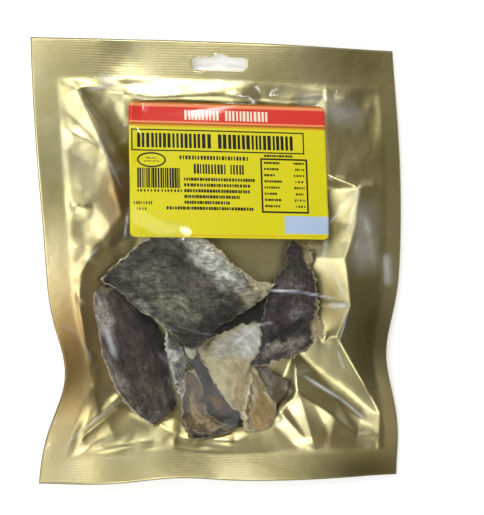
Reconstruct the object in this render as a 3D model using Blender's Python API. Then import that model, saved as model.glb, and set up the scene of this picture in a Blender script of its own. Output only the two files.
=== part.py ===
"""Sealed hanging pouch of dried fish pieces, lying on its back with its clear side up.

The row is +X across the pouch, +Y towards the hang slot and +Z out of the clear front.
The pouch and what fills it are one closed solid, and the sticker on its front is another.
"""
import math

import bmesh
import bpy
import numpy as np

MM = 0.001

# Driving sizes, in millimetres.
POUCH_WIDE = 209.0
POUCH_TALL = 251.0
FLANGE_THICK = 0.8
FLANGE_HIGH = 6.0
SEAL_LEFT = 13.0
SEAL_RIGHT = 8.0
SEAL_TOP = 21.0
SEAL_BOTTOM = 14.0
BACK_RUN = 20.0

SLOT_WIDE = 32.5
SLOT_TALL = 7.7
SLOT_PLACE = (0.3, 113.1)
NUB_WIDE = 9.5
NUB_TALL = 1.9

LABEL_WIDE = 110.0
LABEL_TALL = 76.5
LABEL_PLACE = (4.2, 51.9)
LABEL_TURN = math.radians(-0.3)
LABEL_ROUND = 3.0
LABEL_THICK = 0.25
LABEL_GAP = 0.9

# What the edges draw in by where the fish pulls the film: place along the edge, reach, depth.
LEFT_PULLS = ((-30.0, 101.0, 8.8), (-65.0, 29.0, 11.0))
RIGHT_PULLS = ((-58.0, 29.0, -7.1), (49.0, 68.0, 3.7))
BOTTOM_PULLS = ((-26.0, 25.0, 2.9),)

# Each dried piece as the film feels it: middle, half length, half width, turn, height of its top.
LUMPS = (
    (-20.0, -13.0, 44.0, 22.0, -22.0, 25.0),
    (-49.0, -55.0, 35.0, 14.0, -68.0, 18.0),
    (-8.0, -74.0, 25.0, 13.0, -55.0, 16.0),
    (12.0, -66.0, 28.0, 13.0, -55.0, 17.0),
    (39.0, -25.0, 30.0, 12.0, 78.0, 21.0),
)

# Ridges of tight film: from, to, height, half width.
RIDGES = (
    ((-66.0, -9.0), (-93.0, 45.0), 2.2, 10.0),
    ((-60.0, -70.0), (-88.0, -66.0), 3.0, 9.0),
    ((-42.0, -90.0), (-88.0, -108.0), 2.6, 9.0),
    ((-20.0, -97.0), (-26.0, -110.0), 2.2, 8.0),
    ((33.0, -82.0), (44.0, -112.0), 2.6, 8.0),
    ((36.0, -78.0), (88.0, -96.0), 2.6, 9.0),
    ((56.0, -38.0), (93.0, -56.0), 3.0, 9.0),
    ((45.0, 10.0), (72.0, -2.0), 2.2, 9.0),
    ((-52.0, 84.0), (-84.0, 101.0), 2.0, 10.0),
    ((60.0, 84.0), (90.0, 101.0), 1.6, 10.0),
)

# Where the sealed border bends up or down as it lies: middle, reach, rise.
BORDER_BENDS = (
    ((-92.0, -66.0), 24.0, 2.5),
    ((100.0, -56.0), 24.0, 2.0),
    ((-104.0, 126.0), 34.0, 2.6),
    ((104.0, 124.0), 36.0, -2.0),
    ((-100.0, -124.0), 30.0, -2.4),
    ((104.0, -126.0), 34.0, 3.0),
    ((-26.0, -122.0), 20.0, 2.0),
    ((40.0, 124.0), 40.0, 1.4),
)


def bump(distance, reach):
    """A soft bump: one at no distance, and nearly nothing at twice its reach."""
    return np.exp(-((distance / reach) ** 2))


def edge_pull(along, pulls):
    """How far an edge is drawn across its line, as the sum of its soft dents."""
    return sum(depth * bump(along - place, reach) for place, reach, depth in pulls)


def sheet(across, up):
    """Places on the pouch from -1..1 across and up its flat sheet, with the edges drawn in."""
    x_flat = across * POUCH_WIDE / 2
    y_flat = up * POUCH_TALL / 2
    left = -105.5 + edge_pull(y_flat, LEFT_PULLS)
    right = 103.2 - 0.018 * y_flat + edge_pull(y_flat, RIGHT_PULLS)
    low = -124.9 - 0.015 * x_flat + edge_pull(x_flat, BOTTOM_PULLS)
    high = 125.7 - 0.024 * x_flat
    x = left + (right - left) * (across + 1) / 2
    y = low + (high - low) * (up + 1) / 2
    return x, y


def inside_seal(across, up):
    """Distance in from the seals' inner line, nothing on the seals, with rounded inner corners."""
    left = (across + 1) * POUCH_WIDE / 2 - SEAL_LEFT
    right = (1 - across) * POUCH_WIDE / 2 - SEAL_RIGHT
    low = (up + 1) * POUCH_TALL / 2 - SEAL_BOTTOM
    high = (1 - up) * POUCH_TALL / 2 - SEAL_TOP
    sides = np.maximum(np.stack([left, right, low, high]), 0.0)
    return 1.0 / np.sum((sides + 1e-6) ** -3.0, axis=0) ** (1 / 3)


def lump_distance(x, y, lump):
    """Distance outside one piece's oval, nothing within it."""
    middle_x, middle_y, half_long, half_wide, turn, top = lump
    c = math.cos(math.radians(turn))
    s = math.sin(math.radians(turn))
    along = (x - middle_x) * c + (y - middle_y) * s
    aside = (y - middle_y) * c - (x - middle_x) * s
    ratio = np.hypot(along / half_long, aside / half_wide)
    reach = np.hypot(along, aside)
    return np.where(ratio > 1, reach * (1 - 1 / np.maximum(ratio, 1.0)), 0.0)


def ridge(x, y, start, end, high, half_wide):
    """A straight fold of tight film: a tent across its line that fades at both ends."""
    run_x = end[0] - start[0]
    run_y = end[1] - start[1]
    length = math.hypot(run_x, run_y)
    t = ((x - start[0]) * run_x + (y - start[1]) * run_y) / length**2
    aside = np.abs((y - start[1]) * run_x - (x - start[0]) * run_y) / length
    fade = np.clip(1.35 - np.abs(2 * t - 1), 0.0, 0.35) / 0.35
    return high * fade * np.maximum(1 - aside / half_wide, 0.0)


def border_height(x, y):
    """Height of the sealed border's middle: level, with a few slow bends."""
    height = FLANGE_HIGH + 0.5 * np.sin(x / 15) * np.cos(y / 21)
    for (at_x, at_y), reach, rise in BORDER_BENDS:
        height = height + rise * bump(np.hypot(x - at_x, y - at_y), reach)
    return height


def front_height(x, y, inside):
    """Height of the clear front: straight film from the seals up to the pieces, then its ridges."""
    border = border_height(x, y)
    power = 6.0
    total = np.zeros_like(x)
    for lump in LUMPS:
        share = inside / (inside + lump_distance(x, y, lump) + 1e-6)
        total = total + (np.maximum(lump[5] - border, 0.0) * share) ** power
    rise = total ** (1 / power)
    for start, end, high, half_wide in RIDGES:
        rise = rise + ridge(x, y, start, end, high, half_wide) * np.clip(inside / 8, 0, 1)
    return border + FLANGE_THICK / 2 + rise


def back_height(x, y, inside):
    """Height of the gold back: it drops from the border to the flat face that it lies on."""
    drop = np.clip(inside / BACK_RUN, 0.0, 1.0)
    return (border_height(x, y) - FLANGE_THICK / 2) * (1 - np.sin(drop * math.pi / 2))


def grid_lines(size, low_seal, high_seal, cells):
    """Grid lines from -1 to 1 with two cells on each seal and the rest evenly between."""
    low = -1 + 2 * low_seal / size
    high = 1 - 2 * high_seal / size
    middle = np.linspace(low, high, cells - 3)
    return np.concatenate([[-1.0, (low - 1) / 2], middle, [(high + 1) / 2, 1.0]])


def double_skin(name, columns, rows, place):
    """A closed skin of two layers: place(u, v) gives x, y, lower and upper height of each point."""
    mesh = bpy.data.meshes.new(name)
    bm = bmesh.new()
    bmesh.ops.create_grid(bm, x_segments=len(columns) - 1, y_segments=len(rows) - 1, size=1.0)
    lower = sorted(bm.verts, key=lambda v: (round(v.co.y, 5), v.co.x))
    faces = list(bm.faces)
    grown = bmesh.ops.extrude_face_region(bm, geom=faces, use_keep_orig=True)
    upper = [item for item in grown["geom"] if isinstance(item, bmesh.types.BMVert)]
    upper.sort(key=lambda v: (round(v.co.y, 5), v.co.x))
    u, v = np.meshgrid(columns, rows)
    x, y, low, high = place(u, v)
    for vert, at_x, at_y, at_z in zip(lower, x.flat, y.flat, low.flat):
        vert.co = (at_x * MM, at_y * MM, at_z * MM)
    for vert, at_x, at_y, at_z in zip(upper, x.flat, y.flat, high.flat):
        vert.co = (at_x * MM, at_y * MM, at_z * MM)
    bmesh.ops.recalc_face_normals(bm, faces=bm.faces)
    bmesh.ops.triangulate(bm, faces=bm.faces)
    bm.to_mesh(mesh)
    bm.free()
    for polygon in mesh.polygons:
        polygon.use_smooth = True
    return bpy.data.objects.new(name, mesh)


def material(name, colour, roughness, metallic):
    """A Principled material of one colour."""
    made = bpy.data.materials.new(name)
    made.use_nodes = True
    shader = made.node_tree.nodes["Principled BSDF"]
    shader.inputs["Base Color"].default_value = (*colour, 1.0)
    shader.inputs["Roughness"].default_value = roughness
    shader.inputs["Metallic"].default_value = metallic
    return made


def slot_outline():
    """The hang slot's outline: a bar with round ends and a low nub on its upper side."""
    radius = SLOT_TALL / 2
    run = SLOT_WIDE / 2 - radius
    points = []
    for step in range(9):
        turn = -math.pi / 2 + math.pi * step / 8
        points.append((run + radius * math.cos(turn), radius * math.sin(turn)))
    for step in range(9):
        t = 1 - 2 * step / 8
        points.append((t * NUB_WIDE / 2, radius + NUB_TALL * math.cos(t * math.pi / 2) ** 0.6 + 0.01))
    for step in range(9):
        turn = math.pi / 2 + math.pi * step / 8
        points.append((-run + radius * math.cos(turn), radius * math.sin(turn)))
    return points


def slot_cutter():
    """The slot as a flat 2D curve, thick enough to pass through the bent border."""
    curve = bpy.data.curves.new("slot_cutter", "CURVE")
    curve.dimensions = "2D"
    curve.fill_mode = "BOTH"
    curve.extrude = 8 * MM
    spline = curve.splines.new("POLY")
    outline = slot_outline()
    spline.points.add(len(outline) - 1)
    for point, (x, y) in zip(spline.points, outline):
        point.co = (x * MM, y * MM, 0, 1)
    spline.use_cyclic_u = True
    cutter = bpy.data.objects.new("slot_cutter", curve)
    cutter.location = (SLOT_PLACE[0] * MM, SLOT_PLACE[1] * MM, FLANGE_HIGH * MM)
    return cutter


def pouch_place(across, up):
    """Places of the pouch's two skins."""
    x, y = sheet(across, up)
    inside = inside_seal(across, up)
    return x, y, back_height(x, y, inside), front_height(x, y, inside)


def label_place(u, v):
    """Places of the sticker's two faces: a rounded rectangle that follows the front film."""
    aside = np.maximum(np.abs(v) * LABEL_TALL / 2 - (LABEL_TALL / 2 - LABEL_ROUND), 0.0)
    inset = LABEL_ROUND - np.sqrt(np.maximum(LABEL_ROUND**2 - aside**2, 0.0))
    flat_x = u * (LABEL_WIDE / 2 - inset)
    flat_y = v * LABEL_TALL / 2
    x = LABEL_PLACE[0] + flat_x * math.cos(LABEL_TURN) - flat_y * math.sin(LABEL_TURN)
    y = LABEL_PLACE[1] + flat_x * math.sin(LABEL_TURN) + flat_y * math.cos(LABEL_TURN)
    across = x / (POUCH_WIDE / 2)
    up = y / (POUCH_TALL / 2)
    front = front_height(x, y, inside_seal(across, up))
    return x, y, front + LABEL_GAP, front + LABEL_GAP + LABEL_THICK


def main():
    for old in list(bpy.data.objects):
        bpy.data.objects.remove(old, do_unlink=True)
    parts = bpy.data.collections.new("fish_pouch")
    bpy.context.scene.collection.children.link(parts)
    cutters = bpy.data.collections.new("cutters")
    bpy.context.scene.collection.children.link(cutters)

    columns = grid_lines(POUCH_WIDE, SEAL_LEFT, SEAL_RIGHT, 42)
    rows = grid_lines(POUCH_TALL, SEAL_BOTTOM, SEAL_TOP, 50)
    pouch = double_skin("pouch", columns, rows, pouch_place)
    pouch.data.materials.append(material("gold_film", (0.42, 0.33, 0.13), 0.25, 0.9))
    parts.objects.link(pouch)

    cutter = slot_cutter()
    cutter.hide_render = True
    cutter.display_type = "WIRE"
    cutters.objects.link(cutter)
    bpy.context.view_layer.update()
    graph = bpy.context.evaluated_depsgraph_get()
    cutter_mesh = bpy.data.meshes.new_from_object(cutter.evaluated_get(graph))
    solid = bpy.data.objects.new("slot_cutter_solid", cutter_mesh)
    solid.location = cutter.location
    solid.hide_render = True
    solid.display_type = "WIRE"
    cutters.objects.link(solid)
    cut = pouch.modifiers.new("hang_slot", "BOOLEAN")
    cut.operation = "DIFFERENCE"
    cut.solver = "EXACT"
    cut.object = solid

    corner = 1 - LABEL_ROUND / (LABEL_TALL / 2)
    near = 1 - 0.3 * LABEL_ROUND / (LABEL_TALL / 2)
    label_rows = np.concatenate([[-1.0, -near], np.linspace(-corner, corner, 11), [near, 1.0]])
    label = double_skin("label", np.linspace(-1, 1, 17), label_rows, label_place)
    label.data.materials.append(material("label_sticker", (0.75, 0.68, 0.02), 0.35, 0.0))
    parts.objects.link(label)


main()
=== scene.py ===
import math

import bmesh
import bpy
import numpy as np
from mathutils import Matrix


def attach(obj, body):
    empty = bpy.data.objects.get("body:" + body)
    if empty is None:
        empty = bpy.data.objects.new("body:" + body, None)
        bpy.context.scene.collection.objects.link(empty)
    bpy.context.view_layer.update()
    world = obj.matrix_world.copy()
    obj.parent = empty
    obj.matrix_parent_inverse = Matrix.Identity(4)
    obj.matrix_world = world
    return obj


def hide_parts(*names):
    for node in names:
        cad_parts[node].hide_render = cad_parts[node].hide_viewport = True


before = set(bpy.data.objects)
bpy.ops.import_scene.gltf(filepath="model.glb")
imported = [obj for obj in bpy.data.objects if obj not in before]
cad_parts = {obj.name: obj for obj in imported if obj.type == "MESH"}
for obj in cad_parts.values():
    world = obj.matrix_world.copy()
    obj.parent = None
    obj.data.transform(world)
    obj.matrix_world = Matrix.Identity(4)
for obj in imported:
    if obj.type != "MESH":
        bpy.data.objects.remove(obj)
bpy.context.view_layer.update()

MM = 0.001

# The camera looks down on the lying pouch, a little from its left, as the photograph does.
# It has a normal lens about 46 cm above the pouch.
CAMERA_PLACE = (-31.2, 1.99, 456.95)
CAMERA_TURN = (0.12, -5.58, -0.234)
CAMERA_HEIGHT_ANGLE = 36.0

camera_data = bpy.data.cameras.new("camera")
camera_data.sensor_fit = "VERTICAL"
camera_data.sensor_height = 24.0
camera_data.lens = 12.0 / math.tan(math.radians(CAMERA_HEIGHT_ANGLE / 2))
camera_data.clip_start = 0.01
camera = bpy.data.objects.new("camera", camera_data)
camera.location = [MM * place for place in CAMERA_PLACE]
camera.rotation_euler = [math.radians(turn) for turn in CAMERA_TURN]
bpy.context.scene.collection.objects.link(camera)
bpy.context.scene.camera = camera
bpy.context.scene.view_settings.view_transform = "Standard"


# The studio: a pale matt floor under soft boxes, in a room with pale walls and a ceiling that is
# bright at the left and dark at the right. The gold film mirrors both sides of the ceiling, which
# gives it its light and its dark fields.
FLOOR_SIZE = 6.0
ROOM_LEFT = (0.58, 0.61, 0.66, 1.0)
ROOM_RIGHT = (0.13, 0.11, 0.07, 1.0)
ROOM_WALL = (0.58, 0.585, 0.59, 1.0)
SOFT_BOXES = (
    ("box_left", (-0.62, 0.05, 1.05), 0.46, 0.74, 4.2, (0.98, 0.99, 1.0)),
    ("box_top", (-0.25, 0.72, 0.95), 0.48, 0.22, 2.1, (0.97, 0.985, 1.0)),
    ("box_low", (-0.06, -0.64, 0.95), 0.46, 0.24, 2.6, (0.98, 0.99, 1.0)),
    ("box_front", (0.06, -0.38, 0.95), 0.12, 0.10, 0.20, (0.98, 0.99, 1.0)),
    ("box_label", (0.075, 0.70, 0.95), 0.12, 0.08, 2.0, (1.0, 1.0, 1.0)),
    ("glint_cool", (0.56, -0.10, 0.80), 0.012, 0.012, 0.02, (0.70, 0.88, 1.0)),
    ("glint_warm", (0.44, -0.40, 0.80), 0.012, 0.012, 0.03, (1.0, 0.60, 0.32)),
    ("glint_low", (-0.32, -0.42, 0.85), 0.012, 0.012, 0.08, (1.0, 0.80, 0.60)),
)
FLOOR_DROP = 0.0004
ACROSS_ROOM = (-0.58, 0.36)
UP_WALL = (0.36, 0.60)


def linear(hex_colour):
    """An sRGB hex colour as linear RGBA."""
    parts = [int(hex_colour[i : i + 2], 16) / 255 for i in (0, 2, 4)]
    return (*[p / 12.92 if p <= 0.04045 else ((p + 0.055) / 1.055) ** 2.4 for p in parts], 1.0)


def add(tree, kind, inputs=None, **settings):
    """Adds a node with its settings, and its inputs as values or as links from sockets."""
    made = tree.nodes.new(kind)
    for key, value in settings.items():
        setattr(made, key, value)
    for key, value in (inputs or {}).items():
        if isinstance(value, bpy.types.NodeSocket):
            tree.links.new(value, made.inputs[key])
        else:
            made.inputs[key].default_value = value
    return made


def new_material(name):
    """An empty node material and its tree."""
    made = bpy.data.materials.new(name)
    made.use_nodes = True
    made.node_tree.nodes.clear()
    return made, made.node_tree


def mixed(tree, share, low, high):
    """A colour that goes from low to high as its share goes from nothing to one."""
    return add(tree, "ShaderNodeMixRGB", {"Fac": share, "Color1": low, "Color2": high}).outputs[0]


def spread(tree, value, low, high, to_low=0.0, to_high=1.0, **settings):
    """A value's range from low to high, stretched to another range and held at its ends."""
    ends = {"Value": value, "From Min": low, "From Max": high, "To Min": to_low, "To Max": to_high}
    return add(tree, "ShaderNodeMapRange", ends, **settings).outputs[0]


def solid_surface(tree, inputs):
    """A principled shader with these inputs, as the material's surface."""
    shader = add(tree, "ShaderNodeBsdfPrincipled", inputs)
    add(tree, "ShaderNodeOutputMaterial", {"Surface": shader.outputs[0]})


for name, place, wide, tall, watts, tint in SOFT_BOXES:
    lamp = bpy.data.lights.new(name, "AREA")
    lamp.shape = "RECTANGLE"
    lamp.size = wide
    lamp.size_y = tall
    lamp.energy = watts
    lamp.color = tint
    box = bpy.data.objects.new(name, lamp)
    box.location = place
    aim = -np.array(place)
    flat = math.hypot(aim[0], aim[1])
    box.rotation_euler = (math.atan2(flat, -aim[2]), 0.0, math.atan2(-aim[0], aim[1]))
    bpy.context.scene.collection.objects.link(box)

room = bpy.data.worlds.new("room")
room.use_nodes = True
tree = room.node_tree
direction = add(tree, "ShaderNodeTexCoord").outputs["Generated"]
parts = add(tree, "ShaderNodeSeparateXYZ", {0: direction})
across_room = spread(tree, parts.outputs["X"], *ACROSS_ROOM, interpolation_type="SMOOTHSTEP")
ceiling = mixed(tree, across_room, ROOM_LEFT, ROOM_RIGHT)
up_wall = spread(tree, parts.outputs["Z"], *UP_WALL, interpolation_type="SMOOTHSTEP")
room_colour = mixed(tree, up_wall, ROOM_WALL, ceiling)
tree.links.new(room_colour, tree.nodes["Background"].inputs["Color"])
bpy.context.scene.world = room

floor_mesh = bpy.data.meshes.new("floor")
floor_corners = [(x * FLOOR_SIZE / 2, y * FLOOR_SIZE / 2, 0) for x, y in ((-1, -1), (1, -1), (1, 1), (-1, 1))]
floor_mesh.from_pydata(floor_corners, [], [(0, 1, 2, 3)])
floor = bpy.data.objects.new("floor", floor_mesh)
floor.location.z = -FLOOR_DROP
bpy.context.scene.collection.objects.link(floor)
floor_paint, tree = new_material("floor_paint")
solid_surface(
    tree,
    {
        "Base Color": linear("fcfcfa"),
        "Roughness": 0.8,
        "Emission Color": (1.0, 1.0, 1.0, 1.0),
        "Emission Strength": 0.22,
    },
)
floor_mesh.materials.append(floor_paint)


# The pouch's sheets. Both are cut to the same rectangle and welded on all four sides. The fish
# draws the edges in at the waist, and the border bends up and down as it lies. An edge's pull is
# its place, reach and depth, and a bend of the border its place, reach and rise.
POUCH_WIDE = 209.0
POUCH_TALL = 251.0
SEAL_LEFT = 13.0
SEAL_RIGHT = 8.0
SEAL_TOP = 21.0
SEAL_BOTTOM = 14.0
EDGE_LEFT = -105.5
EDGE_RIGHT = 103.2
EDGE_RIGHT_LEAN = -0.018
EDGE_LOW = -124.9
EDGE_LOW_LEAN = -0.015
EDGE_HIGH = 125.7
EDGE_HIGH_LEAN = -0.024
BORDER_HIGH = 6.0
FILM_THICK = 0.12
LEFT_PULLS = ((-30.0, 101.0, 8.8), (-65.0, 29.0, 11.0))
RIGHT_PULLS = ((-54.0, 28.0, -8.0), (49.0, 68.0, 3.7), (-126.0, 18.0, -2.2))
BOTTOM_PULLS = ((-26.0, 25.0, 2.9), (104.0, 36.0, 2.2))
TOP_PULLS = ((-104.0, 45.0, -2.7),)
BORDER_BENDS = (
    ((-92.0, -66.0), 24.0, 2.5),
    ((100.0, -56.0), 24.0, 2.0),
    ((-104.0, 126.0), 34.0, 2.6),
    ((104.0, 124.0), 36.0, -2.0),
    ((-100.0, -124.0), 30.0, -2.4),
    ((104.0, -126.0), 44.0, -3.0),
    ((-26.0, -122.0), 20.0, 2.0),
    ((-76.0, -118.0), 20.0, 1.3),
    ((-50.0, 116.0), 14.0, -1.6),
    ((-136.0, 56.0), 44.0, 6.0),
    ((-62.0, -150.0), 34.0, 4.0),
    ((84.0, -150.0), 36.0, 3.0),
    ((40.0, 124.0), 40.0, 1.4),
)
GRID_ACROSS = 201
GRID_UP = 241


def bump(distance, reach):
    """A soft bump: one at no distance, and nearly nothing at twice its reach."""
    return np.exp(-((distance / reach) ** 2))


def edge_pull(along, pulls):
    """How far an edge is drawn across its line, as the sum of its soft dents."""
    return sum(depth * bump(along - place, reach) for place, reach, depth in pulls)


def sheet_plan(across, up):
    """Plan of the sheet from -1..1 across and up: straight between its drawn-in edges."""
    x_flat = across * POUCH_WIDE / 2
    y_flat = up * POUCH_TALL / 2
    left = EDGE_LEFT + edge_pull(y_flat, LEFT_PULLS)
    right = EDGE_RIGHT + EDGE_RIGHT_LEAN * y_flat + edge_pull(y_flat, RIGHT_PULLS)
    low = EDGE_LOW + EDGE_LOW_LEAN * x_flat + edge_pull(x_flat, BOTTOM_PULLS)
    high = EDGE_HIGH + EDGE_HIGH_LEAN * x_flat + edge_pull(x_flat, TOP_PULLS)
    return left + (right - left) * (across + 1) / 2, low + (high - low) * (up + 1) / 2


def inside_seal(across, up):
    """Distance in from the seals' inner line, nothing on the seals, with rounded inner corners."""
    left = (across + 1) * POUCH_WIDE / 2 - SEAL_LEFT
    right = (1 - across) * POUCH_WIDE / 2 - SEAL_RIGHT
    low = (up + 1) * POUCH_TALL / 2 - SEAL_BOTTOM
    high = (1 - up) * POUCH_TALL / 2 - SEAL_TOP
    sides = np.maximum(np.stack([left, right, low, high]), 0.0)
    return 1.0 / np.sum((sides + 1e-6) ** -3.0, axis=0) ** (1 / 3)


def border_height(x, y):
    """Height of the sealed border's middle: level, with a few slow bends."""
    height = BORDER_HIGH + 0.3 * np.sin(x / 15) * np.cos(y / 21)
    for (at_x, at_y), reach, rise in BORDER_BENDS:
        height = height + rise * bump(np.hypot(x - at_x, y - at_y), reach)
    return height


def soft_step(t):
    """A step from 0 to 1 that starts and ends level: three squares of t less two cubes."""
    return t * t * (3 - 2 * t)


def blended(near, right, up, far, fu, fv):
    """Four corner values blended by how far right and how far up each place lies between them."""
    low = near * (1 - fu) + right * fu
    high = up * (1 - fu) + far * fu
    return low * (1 - fv) + high * fv


def lattice_cell(u, v, seed):
    """Random values at the corners of each place's cell, and how far right and up it lies in it."""
    values = np.random.RandomState(seed).uniform(-1, 1, (64, 64))
    i = np.floor(u).astype(int)
    j = np.floor(v).astype(int)
    corners = [values[(j + up) % 64, (i + right) % 64] for up in (0, 1) for right in (0, 1)]
    return (*corners, u - i, v - j)


def lattice_noise(x, y, size, seed):
    """Smooth noise from -1 to 1: random values on a lattice of that size, blended with a soft step."""
    near, right, up, far, fu, fv = lattice_cell(x / size, y / size, seed)
    return blended(near, right, up, far, soft_step(fu), soft_step(fv))


def put_mesh(name, points, faces, material, flat_from=None):
    """A smooth object from points in millimetres and faces of four corners, flat from one number on."""
    mesh = bpy.data.meshes.new(name)
    mesh.vertices.add(len(points))
    mesh.vertices.foreach_set("co", (points * MM).astype(np.float32).ravel())
    mesh.loops.add(faces.size)
    mesh.loops.foreach_set("vertex_index", faces.astype(np.int32).ravel())
    mesh.polygons.add(len(faces))
    mesh.polygons.foreach_set("loop_start", np.arange(0, faces.size, 4, dtype=np.int32))
    mesh.polygons.foreach_set("use_smooth", np.arange(len(faces)) < (flat_from or len(faces)))
    mesh.update(calc_edges=True)
    mesh.materials.append(material)
    made = bpy.data.objects.new(name, mesh)
    bpy.context.scene.collection.objects.link(made)
    return made


def cell_corners(corner):
    """The four corners of each cell in a grid of numbers, turning left as seen from above."""
    cells = [corner[:-1, :-1], corner[:-1, 1:], corner[1:, 1:], corner[1:, :-1]]
    return np.stack(cells, -1).reshape(-1, 4)


def grid_faces(rows, columns):
    """The cells of a grid whose points are numbered row by row."""
    return cell_corners(np.arange(rows * columns).reshape(rows, columns))


def sheet_values(values, keep):
    """One value for each point that a thin sheet keeps, first its top's and then its underside's."""
    used = np.unique(grid_faces(*values.shape)[keep.ravel()])
    return np.tile(values.ravel()[used], 2)


def thin_sheet(name, points, thick, keep, material):
    """A closed thin sheet: the grid as its top, the same grid lower down, and walls at each open edge."""
    rows, columns = points.shape[:2]
    top = points.reshape(-1, 3)
    low = top - (0.0, 0.0, thick)
    faces = grid_faces(rows, columns)[keep.ravel()]
    starts = faces.ravel()
    ends = np.roll(faces, -1, axis=1).ravel()
    count = len(top)
    there = starts.astype(np.int64) * count + ends
    back = ends.astype(np.int64) * count + starts
    open_edge = ~np.isin(there, back)
    a = starts[open_edge]
    b = ends[open_edge]
    walls = np.stack([b, a, a + count, b + count], -1)
    every = np.concatenate([faces, faces[:, ::-1] + count, walls])
    used = np.unique(every)
    number = np.zeros(2 * count, int)
    number[used] = np.arange(len(used))
    return put_mesh(name, np.concatenate([top, low])[used], number[every], material, 2 * len(faces))


ACROSS, UP = np.meshgrid(np.linspace(-1, 1, GRID_ACROSS), np.linspace(-1, 1, GRID_UP))
PLAN_X, PLAN_Y = sheet_plan(ACROSS, UP)
INSIDE = inside_seal(ACROSS, UP)


# The dried pieces: trimmings of air-dried cod, skin side or flesh side up, hard and curled, three
# to five millimetres thick. Each is a leaf between two torn edges, from one tip to the other.
FISH_ALONG = 170
FISH_AROUND = 150
SKIN_GAIN = 1.03
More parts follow.
